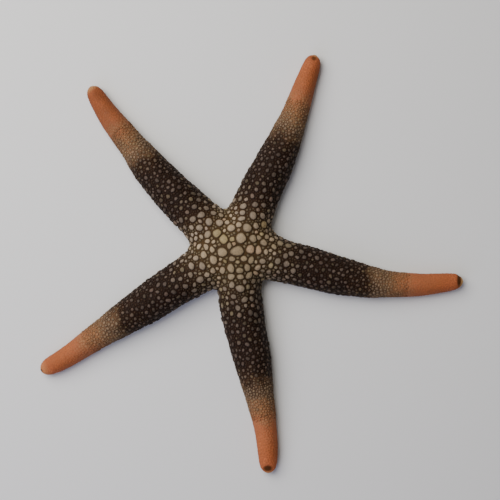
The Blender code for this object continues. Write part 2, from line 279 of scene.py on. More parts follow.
def paint(*screen: float) -> Colour:
    """Linear colour of a surface from its red, green and blue as shown on a screen, 0 to 255."""
    shares = (value / 255.0 for value in screen)
    return tuple(share / 12.92 if share <= 0.04045 else ((share + 0.055) / 1.055) ** 2.4 for share in shares)


def stops(*rows: tuple[float, float, float, float]) -> Stops:
    """Stops of a ramp, from rows of a place on it and a screen colour's red, green and blue."""
    return tuple((place, paint(*colour)) for place, *colour in rows)


def along_line(points: Line, x: Array) -> Array:
    """Heights at x of the straight lines between (x, height) points."""
    return np.interp(x, [point[0] for point in points], [point[1] for point in points])


def fade(values: Array, start: float, end: float) -> Array:
    """Shares that run evenly from 0 at start to 1 at end."""
    return np.clip((values - start) / (end - start), 0.0, 1.0)


@dataclass(frozen=True)
class Pebble:
    """A closed pebble with its foot in the skin, as fractions of its reach and its height.

    sides is the number of directions round it, and profile runs from the foot to the last ring
    before the middle, which is at height 1.
    """

    sides: int
    profile: Line

    def mesh(self) -> tuple[Array, Array, Array, list[tuple[int, ...]]]:
        """Make one pebble of unit size.

        Returns:
            For each point its direction's number, its reach and its height, and the faces.
        """
        shape = bmesh.new()
        reach, rise = self.profile[0]
        bmesh.ops.create_circle(shape, cap_ends=True, segments=self.sides, radius=reach)
        bmesh.ops.translate(shape, verts=shape.verts, vec=(0.0, 0.0, rise))
        face = shape.faces[:][0]
        for number, (next_reach, next_rise) in enumerate(self.profile[1:]):
            made = bmesh.ops.extrude_face_region(shape, geom=[face], use_keep_orig=number == 0)["geom"]
            ring = [item for item in made if isinstance(item, bmesh.types.BMVert)]
            face = [item for item in made if isinstance(item, bmesh.types.BMFace)][0]
            bmesh.ops.scale(shape, verts=ring, vec=(next_reach / reach, next_reach / reach, 1.0))
            bmesh.ops.translate(shape, verts=ring, vec=(0.0, 0.0, next_rise - rise))
            reach, rise = next_reach, next_rise
        crown = bmesh.ops.poke(shape, faces=[face])["verts"]
        bmesh.ops.translate(shape, verts=crown, vec=(0.0, 0.0, 1.0 - rise))
        bmesh.ops.recalc_face_normals(shape, faces=shape.faces)
        shape.verts.index_update()
        places = np.array([vertex.co[:] for vertex in shape.verts])
        turn = np.arctan2(places[:, 1], places[:, 0]) / (2 * math.pi) * self.sides
        direction = np.round(turn).astype(int) % self.sides
        faces = [tuple(vertex.index for vertex in item.verts) for item in shape.faces]
        shape.free()
        return direction, np.hypot(places[:, 0], places[:, 1]), places[:, 2], faces


FINE_PEBBLE = Pebble(24, ((0.97, -0.5), (1.0, 0.0), (0.965, 0.38), (0.87, 0.7), (0.66, 0.9), (0.36, 0.985)))
PLATE_PEBBLE = Pebble(12, ((0.97, -0.5), (1.0, 0.05), (0.9, 0.58), (0.62, 0.9)))
SMALL_PEBBLE = Pebble(8, ((0.96, -0.5), (1.0, 0.05), (0.75, 0.7)))
GRAIN_PEBBLE = Pebble(8, ((0.96, -0.5), (1.0, 0.0), (0.86, 0.5), (0.52, 0.86)))
FLAT_GRAIN = Pebble(8, ((1.0, -0.4), (0.9, 0.35), (0.55, 0.85)))
SIEVE = Pebble(72, ((0.97, -0.6), (1.0, 0.0), (0.96, 0.4), (0.88, 0.62), (0.76, 0.76), (0.62, 0.86),
                    (0.46, 0.93), (0.3, 0.98), (0.14, 1.0)))
SPINE = Pebble(8, ((0.7, -0.15), (0.95, 0.1), (1.0, 0.6), (0.72, 0.93)))
TUBE_FOOT = Pebble(8, ((0.6, -0.15), (0.55, 0.55), (1.0, 0.75), (0.8, 0.97)))


def joined_mesh(name: str, places: Array, faces: list[tuple[int, ...]], copies: int) -> Mesh:
    """One mesh from many copies of a small one.

    Args:
        name: The mesh's name.
        places: All points, copy after copy.
        faces: The faces of one copy.
        copies: How many copies there are.

    Returns:
        The joined mesh, shaded smooth.
    """
    mesh = bpy.data.meshes.new(name)
    first_points = len(places) // copies * np.arange(copies)
    corners = (np.concatenate(faces) + first_points[:, None]).ravel()
    sizes = np.tile([len(face) for face in faces], copies)
    mesh.vertices.add(len(places))
    mesh.vertices.foreach_set("co", places.astype(np.float32).ravel())
    mesh.loops.add(len(corners))
    mesh.loops.foreach_set("vertex_index", corners.astype(np.int32))
    mesh.polygons.add(len(sizes))
    mesh.polygons.foreach_set("loop_start", (np.cumsum(sizes) - sizes).astype(np.int32))
    mesh.update(calc_edges=True)
    mesh.validate()
    mesh.shade_smooth()
    return mesh


def give(mesh: Mesh, **numbers: Array | float) -> None:
    """Give a mesh's points numbers for its material to read.

    Args:
        mesh: The mesh.
        numbers: By name, one value in all, one for each copy in it or one for each point.
    """
    for name, values in numbers.items():
        data = mesh.attributes.new(name, "FLOAT", "POINT").data
        values = np.repeat(values, len(data) // np.size(values))
        data.foreach_set("value", values.astype(np.float32))


def add_object(name: str, data: bpy.types.ID) -> bpy.types.Object:
    """Put a mesh, a light or a camera in the scene.

    Args:
        name: The new object's name.
        data: What it shows.

    Returns:
        The object, at the origin.
    """
    made = bpy.data.objects.new(name, data)
    bpy.context.scene.collection.objects.link(made)
    return made


def place_object(name: str, mesh: Mesh, material: Material) -> bpy.types.Object:
    """Put a mesh in the scene as a dressed piece that rides on the starfish.

    Args:
        name: The piece's name.
        mesh: Its mesh, with its place in its points.
        material: Its finish.

    Returns:
        The new object.
    """
    piece = add_object(name, mesh)
    mesh.materials.clear()
    mesh.materials.append(material)
    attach(piece, BODY)
    triangles = sum(len(polygon.vertices) - 2 for polygon in mesh.polygons)
    LOG.info("%s: %d triangles", name, triangles)
    return piece


def smooth(form: bmesh.types.BMesh, points: Sequence[bmesh.types.BMVert], rounds: int) -> None:
    """Ease some points of a form toward their neighbours, a number of times."""
    for _ in range(rounds):
        bmesh.ops.smooth_vert(form, verts=points, factor=0.5, **EVERY_WAY)


@dataclass
class Skin:
    """The starfish's dried skin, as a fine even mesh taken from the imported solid.

    voxel is the mesh's fineness. The solid carries rough lumps where the plates are, so the back
    is eased smooth above ease_from, within ever smaller shares of the arms, and let in by sink. The
    underside is lifted to floor_gap to leave room for its granules. Dark spots are let in by
    spot_depth, and the mouth by mouth_depth.
    """

    voxel: float = 0.5 * MM
    ease_limits: tuple[float, ...] = (0.76, 0.73, 0.7, 0.67, 0.66, 0.65)
    ease_rounds: int = 4
    last_rounds: int = 2
    ease_from: float = 1.4 * MM
    floor_gap: float = 0.22 * MM
    sink: float = 0.1 * MM
    spot_depth: float = 0.2 * MM
    mouth_depth: float = 1.5 * MM
    mesh: Mesh = field(init=False)
    tree: BVHTree = field(init=False)

    def shape(self) -> None:
        """Take the solid's form over and make it fine, even and smooth."""
        form = bmesh.new()
        form.from_mesh(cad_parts[NODE].data)
        bmesh.ops.remove_doubles(form, verts=form.verts, dist=WELD)
        coarse = bpy.data.meshes.new("coarse skin")
        form.to_mesh(coarse)
        form.free()
        guide = add_object("coarse skin", coarse)
        even = guide.modifiers.new("even", "REMESH")
        even.mode = "VOXEL"
        even.voxel_size = self.voxel
        depsgraph = bpy.context.evaluated_depsgraph_get()
        self.mesh = bpy.data.meshes.new_from_object(guide.evaluated_get(depsgraph))
        self.mesh.name = "skin"
        bpy.data.objects.remove(guide, do_unlink=True)
        bpy.data.meshes.remove(coarse)
        self.ease()

    def ease(self) -> None:
        """Smooth the lumps off the back, and lift the underside to make room for granules."""
        form = bmesh.new()
        form.from_mesh(self.mesh)
        form.verts.ensure_lookup_table()
        places = self.read("co")
        share, _ = PLAN.share(places)
        back = places[:, 2] > self.ease_from
        for limit in self.ease_limits:
            lumpy = [form.verts[number] for number in np.nonzero(back & (share < limit))[0]]
            smooth(form, lumpy, self.ease_rounds)
        smooth(form, form.verts, self.last_rounds)
        form.normal_update()
        dark, _ = PLAN.marks(places)
        for vertex, spot in zip(form.verts, dark):
            if vertex.co.z > self.ease_from:
                vertex.co -= vertex.normal * (self.sink + self.spot_depth * spot)
            elif vertex.normal.z < 0.0:
                vertex.co.z += self.mouth_depth * spot
            vertex.co.z = max(vertex.co.z, self.floor_gap)
        form.to_mesh(self.mesh)
        form.free()
        corners = [tuple(polygon.vertices) for polygon in self.mesh.polygons]
        self.tree = BVHTree.FromPolygons([Vector(place) for place in self.read("co")], corners)
        self.mesh.shade_smooth()

    def read(self, what: str) -> Array:
        """Read the skin's points.

        Args:
            what: "co" for their places, or "normal" for the directions outwards there.

        Returns:
            One row a point.
        """
        values = np.empty(len(self.mesh.vertices) * 3, np.float32)
        self.mesh.vertices.foreach_get(what, values)
        return values.reshape(-1, 3).astype(float)

    def sample(self, chance: Chance, count: int, within: Pair,
               facing: Pair) -> tuple[Array, Array]:
        """Random places spread evenly over part of the skin.

        Args:
            chance: The source of chance.
            count: How many places to give.
            within: The range of the arms' shares.
            facing: The range of how far the skin points up.

        Returns:
            The places and the directions outwards there.
        """
        places, normals = self.read("co"), self.read("normal")
        self.mesh.calc_loop_triangles()
        corners = np.empty(len(self.mesh.loop_triangles) * 3, np.int32)
        self.mesh.loop_triangles.foreach_get("vertices", corners)
        corners = corners.reshape(-1, 3)
        first, second, third = (places[corners[:, column]] for column in range(3))
        area = np.linalg.norm(np.cross(second - first, third - first), axis=1)
        share, _ = PLAN.share((first + second + third) / 3)
        upward = normals[corners[:, 0], 2]
        area *= (share > within[0]) & (share < within[1]) & (upward > facing[0]) & (upward < facing[1])
        chosen = chance.choice(len(corners), size=count, p=area / area.sum())
        u = np.sqrt(chance.random(count))[:, None]
        v = chance.random(count)[:, None]
        weights = (1.0 - u, u * (1.0 - v), u * v)
        picked = corners[chosen]
        spots, outward = (sum(weight * values[picked[:, column]] for column, weight in enumerate(weights))
                          for values in (places, normals))
        return spots, outward / np.linalg.norm(outward, axis=1)[:, None]

    def dress(self, material: Material) -> None:
        """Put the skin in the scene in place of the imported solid.

        Args:
            material: Its finish.
        """
        places = self.read("co")
        dark, pale = PLAN.marks(places)
        give(self.mesh, share=PLAN.share(places)[0], notch=dark, cap=pale, glow=PLAN.glow(places),
             facing=self.read("normal")[:, 2])
        piece = place_object("skin", self.mesh, material)
        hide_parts(NODE)


@dataclass
class Plates:
    """All pebbles of the skin: where they lie, how wide they are, and how they are turned.

    cells tells which of them lie in each cell of space, so that neighbours are found quickly.
    """

    spots: list[Array] = field(default_factory=list)
    outward: list[Array] = field(default_factory=list)
    long_half: list[float] = field(default_factory=list)
    short_half: list[float] = field(default_factory=list)
    turn: list[float] = field(default_factory=list)
    kind: list[Kind] = field(default_factory=list)
    cells: dict[tuple[int, ...], list[int]] = field(default_factory=dict)
    cell: float = 3.0 * MM

    def key(self, spot: Array) -> tuple[int, ...]:
        """The cell of space that a spot is in."""
        return tuple(int(value // self.cell) for value in spot)

    def add(self, spot: Array, outward: Array, halves: Pair, turn: float,
            kind: Kind) -> None:
        """Note one more pebble.

        Args:
            spot: Its middle, on the skin.
            outward: The skin's direction outwards there.
            halves: Half its long and half its short width.
            turn: How far it is turned, in radians.
            kind: What sort of pebble it is.
        """
        self.cells.setdefault(self.key(spot), []).append(len(self.spots))
        self.spots.append(spot)
        self.outward.append(outward)
        self.long_half.append(halves[0])
        self.short_half.append(halves[1])
        self.turn.append(turn)
        self.kind.append(kind)

    def near(self, spot: Array) -> list[int]:
        """Numbers of the pebbles in and round a spot's cell."""
        x, y, z = self.key(spot)
        return [number for i in (-1, 0, 1) for j in (-1, 0, 1) for k in (-1, 0, 1)
                for number in self.cells.get((x + i, y + j, z + k), ())]

    def free(self, spot: Array, radius: float, gap: float) -> bool:
        """Whether a round pebble has room at a spot.

        Args:
            spot: Its middle.
            radius: Its half width.
            gap: The least space to the next pebble.

        Returns:
            True where nothing is in its way.
        """
        for number in self.near(spot):
            away = spot - self.spots[number]
            distance = math.sqrt(away[0] * away[0] + away[1] * away[1] + away[2] * away[2])
            if distance >= self.long_half[number] + radius + gap:
                continue
            if distance < self.short_half[number] + radius + gap:
                return False
            first, second = frame_at(self.outward[number], self.turn[number])
            across = (away @ first) / (self.long_half[number] + radius + gap)
            along = (away @ second) / (self.short_half[number] + radius + gap)
            if across * across + along * along < 1.0:
                return False
        return True

    def frames(self, numbers: Sequence[int]) -> tuple[Array, Array]:
        """Directions of some pebbles' long and short widths, one pebble a row."""
        pairs = [frame_at(self.outward[number], self.turn[number]) for number in numbers]
        return np.array([pair[0] for pair in pairs]), np.array([pair[1] for pair in pairs])


def frame_at(outward: Array, turn: float) -> tuple[Array, Array]:
    """Two directions in the skin at a pebble, turned with it.

    Args:
        outward: The direction out of the skin.
        turn: How far the pebble is turned from the plan's X axis, in radians.

    Returns:
        The directions of its long and its short width.
    """
    side = np.array([1.0, 0.0, 0.0]) if abs(outward[0]) < 0.9 else np.array([0.0, 1.0, 0.0])
    first = side - outward * (side @ outward)
    first /= np.linalg.norm(first)
    second = np.cross(outward, first)
    return (math.cos(turn) * first + math.sin(turn) * second,
            math.cos(turn) * second - math.sin(turn) * first)


@dataclass(frozen=True)
class Layer:
    """One pass of scattered pebbles.

    half and gap run along the arm as (share, size) points in millimetres. spread is how unequal
    the pebbles are, oval how much longer than wide they may be. within is the range of shares that
    the pass covers, and facing the range of the skin's upward direction.
    """

    kind: Kind
    tries: int
    half: Line
    gap: Line
    within: Pair
    facing: Pair = (-0.45, 1.01)
    spread: float = 0.12
    oval: float = 0.25


LAYERS = (
    Layer(Kind.MAIN, 14000, ((0.0, 0.95), (0.17, 0.95), (0.3, 0.9), (0.45, 0.78), (0.56, 0.6), (0.62, 0.5)),
          ((0.0, 0.1), (0.15, 0.14), (0.25, 0.42), (0.45, 0.5), (0.58, 0.3)), (-1.0, 0.61),
          spread=0.22, oval=0.5),
    Layer(Kind.MAIN, 9000, ((0.0, 0.7), (0.17, 0.7), (0.3, 0.62), (0.56, 0.45)),
          ((0.0, 0.06), (0.15, 0.08), (0.25, 0.3), (0.58, 0.25)), (-1.0, 0.6), spread=0.2, oval=0.4),
    Layer(Kind.FILL, 22000, ((0.0, 0.52), (0.14, 0.48), (0.2, 0.42), (0.6, 0.36)),
          ((0.0, 0.02), (0.6, 0.04)), (-1.0, 0.61)),
    Layer(Kind.FILL, 20000, ((0.1, 0.32), (0.6, 0.28)), ((0.0, 0.0), (0.6, 0.03)), (0.13, 0.6)),
    Layer(Kind.TAN, 9000, ((0.58, 0.55), (0.68, 0.5), (0.76, 0.4)), ((0.5, 0.02),), (0.59, 0.76), spread=0.2),
    Layer(Kind.TAN, 9000, ((0.58, 0.3), (0.76, 0.27)), ((0.5, 0.0),), (0.59, 0.75)),
    Layer(Kind.TIP, 19000, ((0.75, 0.37), (1.0, 0.31)), ((0.5, 0.03),), (0.75, 1.1)),
    Layer(Kind.UNDER, 16000, ((0.0, 0.55), (0.6, 0.5), (1.0, 0.36)), ((0.0, 0.04),), (-1.0, 1.1),
          (-1.01, -0.4)),
    Layer(Kind.UNDER, 16000, ((0.0, 0.34), (1.0, 0.28)), ((0.0, 0.02),), (-1.0, 1.1), (-1.01, -0.4)),
)


def oval_reach(long_half: Array, short_half: Array, u: Array, v: Array) -> Array:
    """Half width of an oval in the direction (u, v), which is given in its own axes."""
    return 1.0 / np.sqrt((u / long_half) ** 2 + (v / short_half) ** 2 + 1e-12)


@dataclass
class PlateCover:
    """The whole cover of plates and granules, from the read plates to the last fillings.

    No pebble is scattered where a dark mark is stronger than clear_mark, and none of the underside's
    is higher than groove_clear, so that the grooves stay open. An outline heeds the given number of
    neighbours, those that lie within least_facing of its direction, and keeps least_share of its
    own reach. sharpness says how squarely it meets them.
    """

    skin: Skin
    plates: Plates = field(default_factory=Plates)
    clear_mark: float = 0.6
    groove_clear: float = 0.55 * MM
    neighbours: int = 14
    least_facing: float = 0.15
    least_share: float = 0.2
    sharpness: float = 9.0

    def lay_read_plates(self) -> None:
        """Lay the sieve plate and the plates that were read off the disc on the skin below them."""
        for number, (x, y, *widths, turn) in enumerate((SIEVE_PLATE, *READ_PLATES)):
            above = Vector((PLAN.centre[0] + x * MM, PLAN.centre[1] + y * MM, 0.1))
            spot, normal, _, _ = self.skin.tree.ray_cast(above, -UP)
            kind, wider = (Kind.DISC, READ_PLATE_WIDER) if number else (Kind.SIEVE, 1.0)
            halves = tuple(width / 2 * MM * wider for width in widths)
            self.plates.add(np.array(spot), np.array(normal), halves, math.radians(turn), kind)

    def scatter(self, chance: Chance, layer: Layer) -> None:
        """Scatter one pass of pebbles where there is room.

        Args:
            chance: The source of chance.
            layer: What to scatter.
        """
        spots, outward = self.skin.sample(chance, layer.tries, layer.within, layer.facing)
        share, _ = PLAN.share(spots)
        uneven = chance.uniform(1 - layer.spread, 1 + layer.spread, len(spots))
        half = along_line(layer.half, share) * MM * uneven
        gap = along_line(layer.gap, share) * MM
        turn = chance.uniform(0.0, math.pi, len(spots))
        oval = chance.uniform(0.0, layer.oval, len(spots))
        wanted = PLAN.marks(spots)[0] < self.clear_mark
        if layer.kind is Kind.UNDER:
            wanted &= spots[:, 2] < self.groove_clear
        for number in np.nonzero(wanted)[0]:
            if self.plates.free(spots[number], half[number], gap[number]):
                halves = (half[number] * (1 + oval[number] / 2), half[number] * (1 - oval[number] / 2))
                self.plates.add(spots[number], outward[number], halves, turn[number], layer.kind)

    def outlines(self, chosen: Array, sides: int, grow: float, gap: float) -> Array:
        """Reach of each chosen pebble in every direction, kept clear of its neighbours.

        Args:
            chosen: Numbers of the pebbles.
            sides: How many directions there are.
            grow: How far each may grow past its own width where there is room.
            gap: The dark gap that stays between two pebbles.

        Returns:
            One row a pebble, one column a direction.
        """
        spots = np.array(self.plates.spots)
        long_half = np.array(self.plates.long_half)
        short_half = np.array(self.plates.short_half)
        first, second = self.plates.frames(range(len(spots)))
        tree = KDTree(len(spots))
        for number, spot in enumerate(spots):
            tree.insert(spot, number)
        tree.balance()
        found = [tree.find_n(spots[number], self.neighbours + 1)[1:] for number in chosen]
        near = np.array([[number for _, number, _ in row] for row in found])
        away = spots[near] - spots[chosen][:, None, :]
        u = np.einsum("ijk,ik->ij", away, first[chosen])
        v = np.einsum("ijk,ik->ij", away, second[chosen])
        distance = np.hypot(u, v) + 1e-9
        u, v = u / distance, v / distance
        halves = long_half[chosen][:, None], short_half[chosen][:, None]
        own = oval_reach(*halves, u, v)
        back_u = -np.einsum("ijk,ijk->ij", away, first[near]) / distance
        back_v = -np.einsum("ijk,ijk->ij", away, second[near]) / distance
        other = oval_reach(long_half[near], short_half[near], back_u, back_v)
        border = (own + (distance - own - other) / 2 - gap / 2)[:, :, None]
        angle = 2 * math.pi * np.arange(sides) / sides
        cosine, sine = np.cos(angle), np.sin(angle)
        facing = u[:, :, None] * cosine + v[:, :, None] * sine
        limit = np.where(facing > self.least_facing, border / np.maximum(facing, self.least_facing), 1.0)
        full = oval_reach(*halves, cosine[None, :], sine[None, :]) * grow
        limit = np.maximum(limit, self.least_share * full[:, None, :])
        total = (full ** -self.sharpness) + (limit ** -self.sharpness).sum(1)
        return total ** (-1.0 / self.sharpness)


@dataclass(frozen=True)
class PebbleForm:
    """How one kind of pebble is shaped on the skin.

    height is that of a pebble of half width width_for_height; narrower ones are lower. grow says
    how far one may spread where there is room, gap is the dark gap to the next one, and lobes how
    uneven its outline is. One that follows_skin bends with it. ridges says how deep the furrows
    that run out from its middle are. Lengths are in millimetres.
    """

    kind: Kind
    pebble: Pebble
    height: float
    width_for_height: float
    grow: float
    gap: float
    lobes: float
    follows_skin: bool = False
    ridges: float = 0.0


FORMS = (
    PebbleForm(Kind.DISC, FINE_PEBBLE, 0.5, 1.3, 1.22, 0.16, 0.05, True),
    PebbleForm(Kind.SIEVE, SIEVE, 0.4, 1.35, 1.0, 0.1, 0.02, True, 0.3),
    PebbleForm(Kind.MAIN, PLATE_PEBBLE, 0.37, 0.95, 1.23, 0.18, 0.09, True),
    PebbleForm(Kind.FILL, SMALL_PEBBLE, 0.25, 0.5, 1.4, 0.13, 0.08),
    PebbleForm(Kind.TAN, GRAIN_PEBBLE, 0.22, 0.45, 1.4, 0.1, 0.05),
    PebbleForm(Kind.TIP, FLAT_GRAIN, 0.1, 0.35, 1.5, 0.03, 0.03),
    PebbleForm(Kind.UNDER, GRAIN_PEBBLE, 0.22, 0.5, 1.4, 0.1, 0.05),
)
# Where the disc's plates are yellowish (1) or pinkish (0): place and reach in millimetres, and hue
HUE_SPOTS = (
    ((-4.6, 4.8), 4.4, 0.95), ((7.2, 0.2), 2.6, 0.04), ((2.1, -8.0), 5.5, 0.78), ((16.0, 3.0), 4.5, 0.86))


@dataclass
class PebblePiece:
    """One piece of the scene: all pebbles of one kind, joined.

    size_limits are the least and the greatest share of the form's height for narrow and wide
    pebbles, uneven the range of heights by chance, and tilt how far one may lean. disc_hues is
    the range of hues by chance on the disc, and foot_rise where a pebble's dark foot ends.
    """

    cover: PlateCover
    form: PebbleForm
    size_limits: Pair = (0.6, 1.15)
    uneven: Pair = (0.85, 1.15)
    tilt: float = 0.12
    disc_hues: Pair = (0.26, 0.8)
    foot_rise: float = 0.02

    def build(self, chance: Chance, material: Material) -> None:
        """Make the joined mesh of this kind's pebbles.

        Args:
            chance: The source of chance.
            material: The pebbles' finish.
        """
        plates, form = self.cover.plates, self.form
        chosen = np.array([number for number, kind in enumerate(plates.kind) if kind is form.kind])
        direction, reach, rise, faces = form.pebble.mesh()
        count, sides = len(chosen), form.pebble.sides
        edge = self.cover.outlines(chosen, sides, form.grow, form.gap * MM)
        angle = 2 * math.pi * np.arange(sides) / sides
        phase = chance.uniform(0.0, 2 * math.pi, (count, 2))
        lobe = np.sin(2 * angle + phase[:, :1]) + 0.7 * np.sin(3 * angle + phase[:, 1:])
        edge = edge * (1.0 + form.lobes * (lobe - 1.0) / 2)
        outward = np.array(plates.outward)[chosen]
        spots = np.array(plates.spots)[chosen]
        first, second = plates.frames(chosen)
        out_to = edge[:, direction] * reach
        cosine, sine = np.cos(angle)[direction], np.sin(angle)[direction]
        flat = (spots[:, None, :] + (out_to * cosine)[:, :, None] * first[:, None, :]
                + (out_to * sine)[:, :, None] * second[:, None, :])
        if form.follows_skin:
            flat = self.on_skin(flat)
        mean_half = np.sqrt(np.array(plates.long_half)[chosen] * np.array(plates.short_half)[chosen])
        height = form.height * MM * np.clip(mean_half / (form.width_for_height * MM), *self.size_limits)
        height *= chance.uniform(*self.uneven, count)
        furrow = np.cos(18 * angle + 2.2 * np.sin(3 * angle))[direction] * 4 * reach * (1 - reach)
        tilt = chance.uniform(-self.tilt, self.tilt, (count, 2))
        lean = 1.0 + tilt[:, :1] * (cosine * reach)
        lean += tilt[:, 1:] * (sine * reach) + form.ridges * furrow
        places = flat + (height[:, None] * rise * lean)[:, :, None] * outward[:, None, :]
        places = places.reshape(-1, 3)
        places[:, 2] = np.maximum(places[:, 2], 0.0)
        mesh = joined_mesh(form.kind.value, places, faces, count)
        dark, pale = PLAN.marks(places)
        give(mesh, share=PLAN.share(spots)[0], chance=chance.random(count), hue=self.hues(chance, spots),
             rim=np.tile(np.where(rise < self.foot_rise, 1.0, reach), count), notch=dark, cap=pale,
             glow=PLAN.glow(places))
        place_object(form.kind.value, mesh, material)

    def hues(self, chance: Chance, spots: Array) -> Array:
        """A hue for each pebble: by chance, and on the disc by where it lies.

        Args:
            chance: The source of chance.
            spots: The pebbles' middles.

        Returns:
            One number a pebble, from 0 for pinkish to 1 for yellowish.
        """
        if self.form.kind is not Kind.DISC:
            return chance.random(len(spots))
        hues = chance.uniform(*self.disc_hues, len(spots))
        for place, reach, hue in HUE_SPOTS:
            away = spots[:, :2] - np.array(PLAN.centre) - np.array(place) * MM
            hues[np.linalg.norm(away, axis=1) < reach * MM] = hue
        return hues

    def on_skin(self, flat: Array) -> Array:
        """Drop points that lie in the pebbles' flat planes onto the curved skin, row by row."""
        find = self.cover.skin.tree.find_nearest
        return np.array([[find(Vector(point))[0] for point in points] for points in flat])


@dataclass
class PegPiece:
    """Many blunt pegs of one half width, joined into one piece. rim_top says how pale their ends are."""

    name: str
    peg: Pebble
    half: float
    rim_top: float = 0.45
    feet: list[Array] = field(default_factory=list)
    ways: list[Array] = field(default_factory=list)
    lengths: list[float] = field(default_factory=list)

    def add(self, place: Array, height: float, way: Array, length: float) -> None:
        """Note one more peg.

        Args:
            place: Where it stands, in plan.
            height: The height that it stands at.
            way: The direction that it points in.
            length: Its length.
        """
        self.feet.append(np.array([*place, height]))
        self.ways.append(way / np.linalg.norm(way))
        self.lengths.append(length)

    def build(self, chance: Chance, material: Material) -> None:
        """Make the joined mesh of all pegs.

        Args:
            chance: The source of chance.
            material: The pegs' finish.
        """
        direction, reach, rise, faces = self.peg.mesh()
        angle = 2 * math.pi * direction / self.peg.sides
        copies = []
        for foot, way, length in zip(self.feet, self.ways, self.lengths):
            first, second = frame_at(way, 0.0)
            across = np.outer(np.cos(angle) * reach, first) + np.outer(np.sin(angle) * reach, second)
            copies.append(foot + self.half * across + np.outer(rise * length, way))
        places = np.concatenate(copies)
        places[:, 2] = np.maximum(places[:, 2], 0.0)
        count = len(copies)
        mesh = joined_mesh(self.name, places, faces, count)
        give(mesh, share=PLAN.share(np.array(self.feet))[0], chance=chance.random(count),
             hue=chance.random(count), rim=np.tile(1.0 - self.rim_top * rise, count), notch=0.0, cap=0.0,
             glow=1.0)
        place_object(self.name, mesh, material)


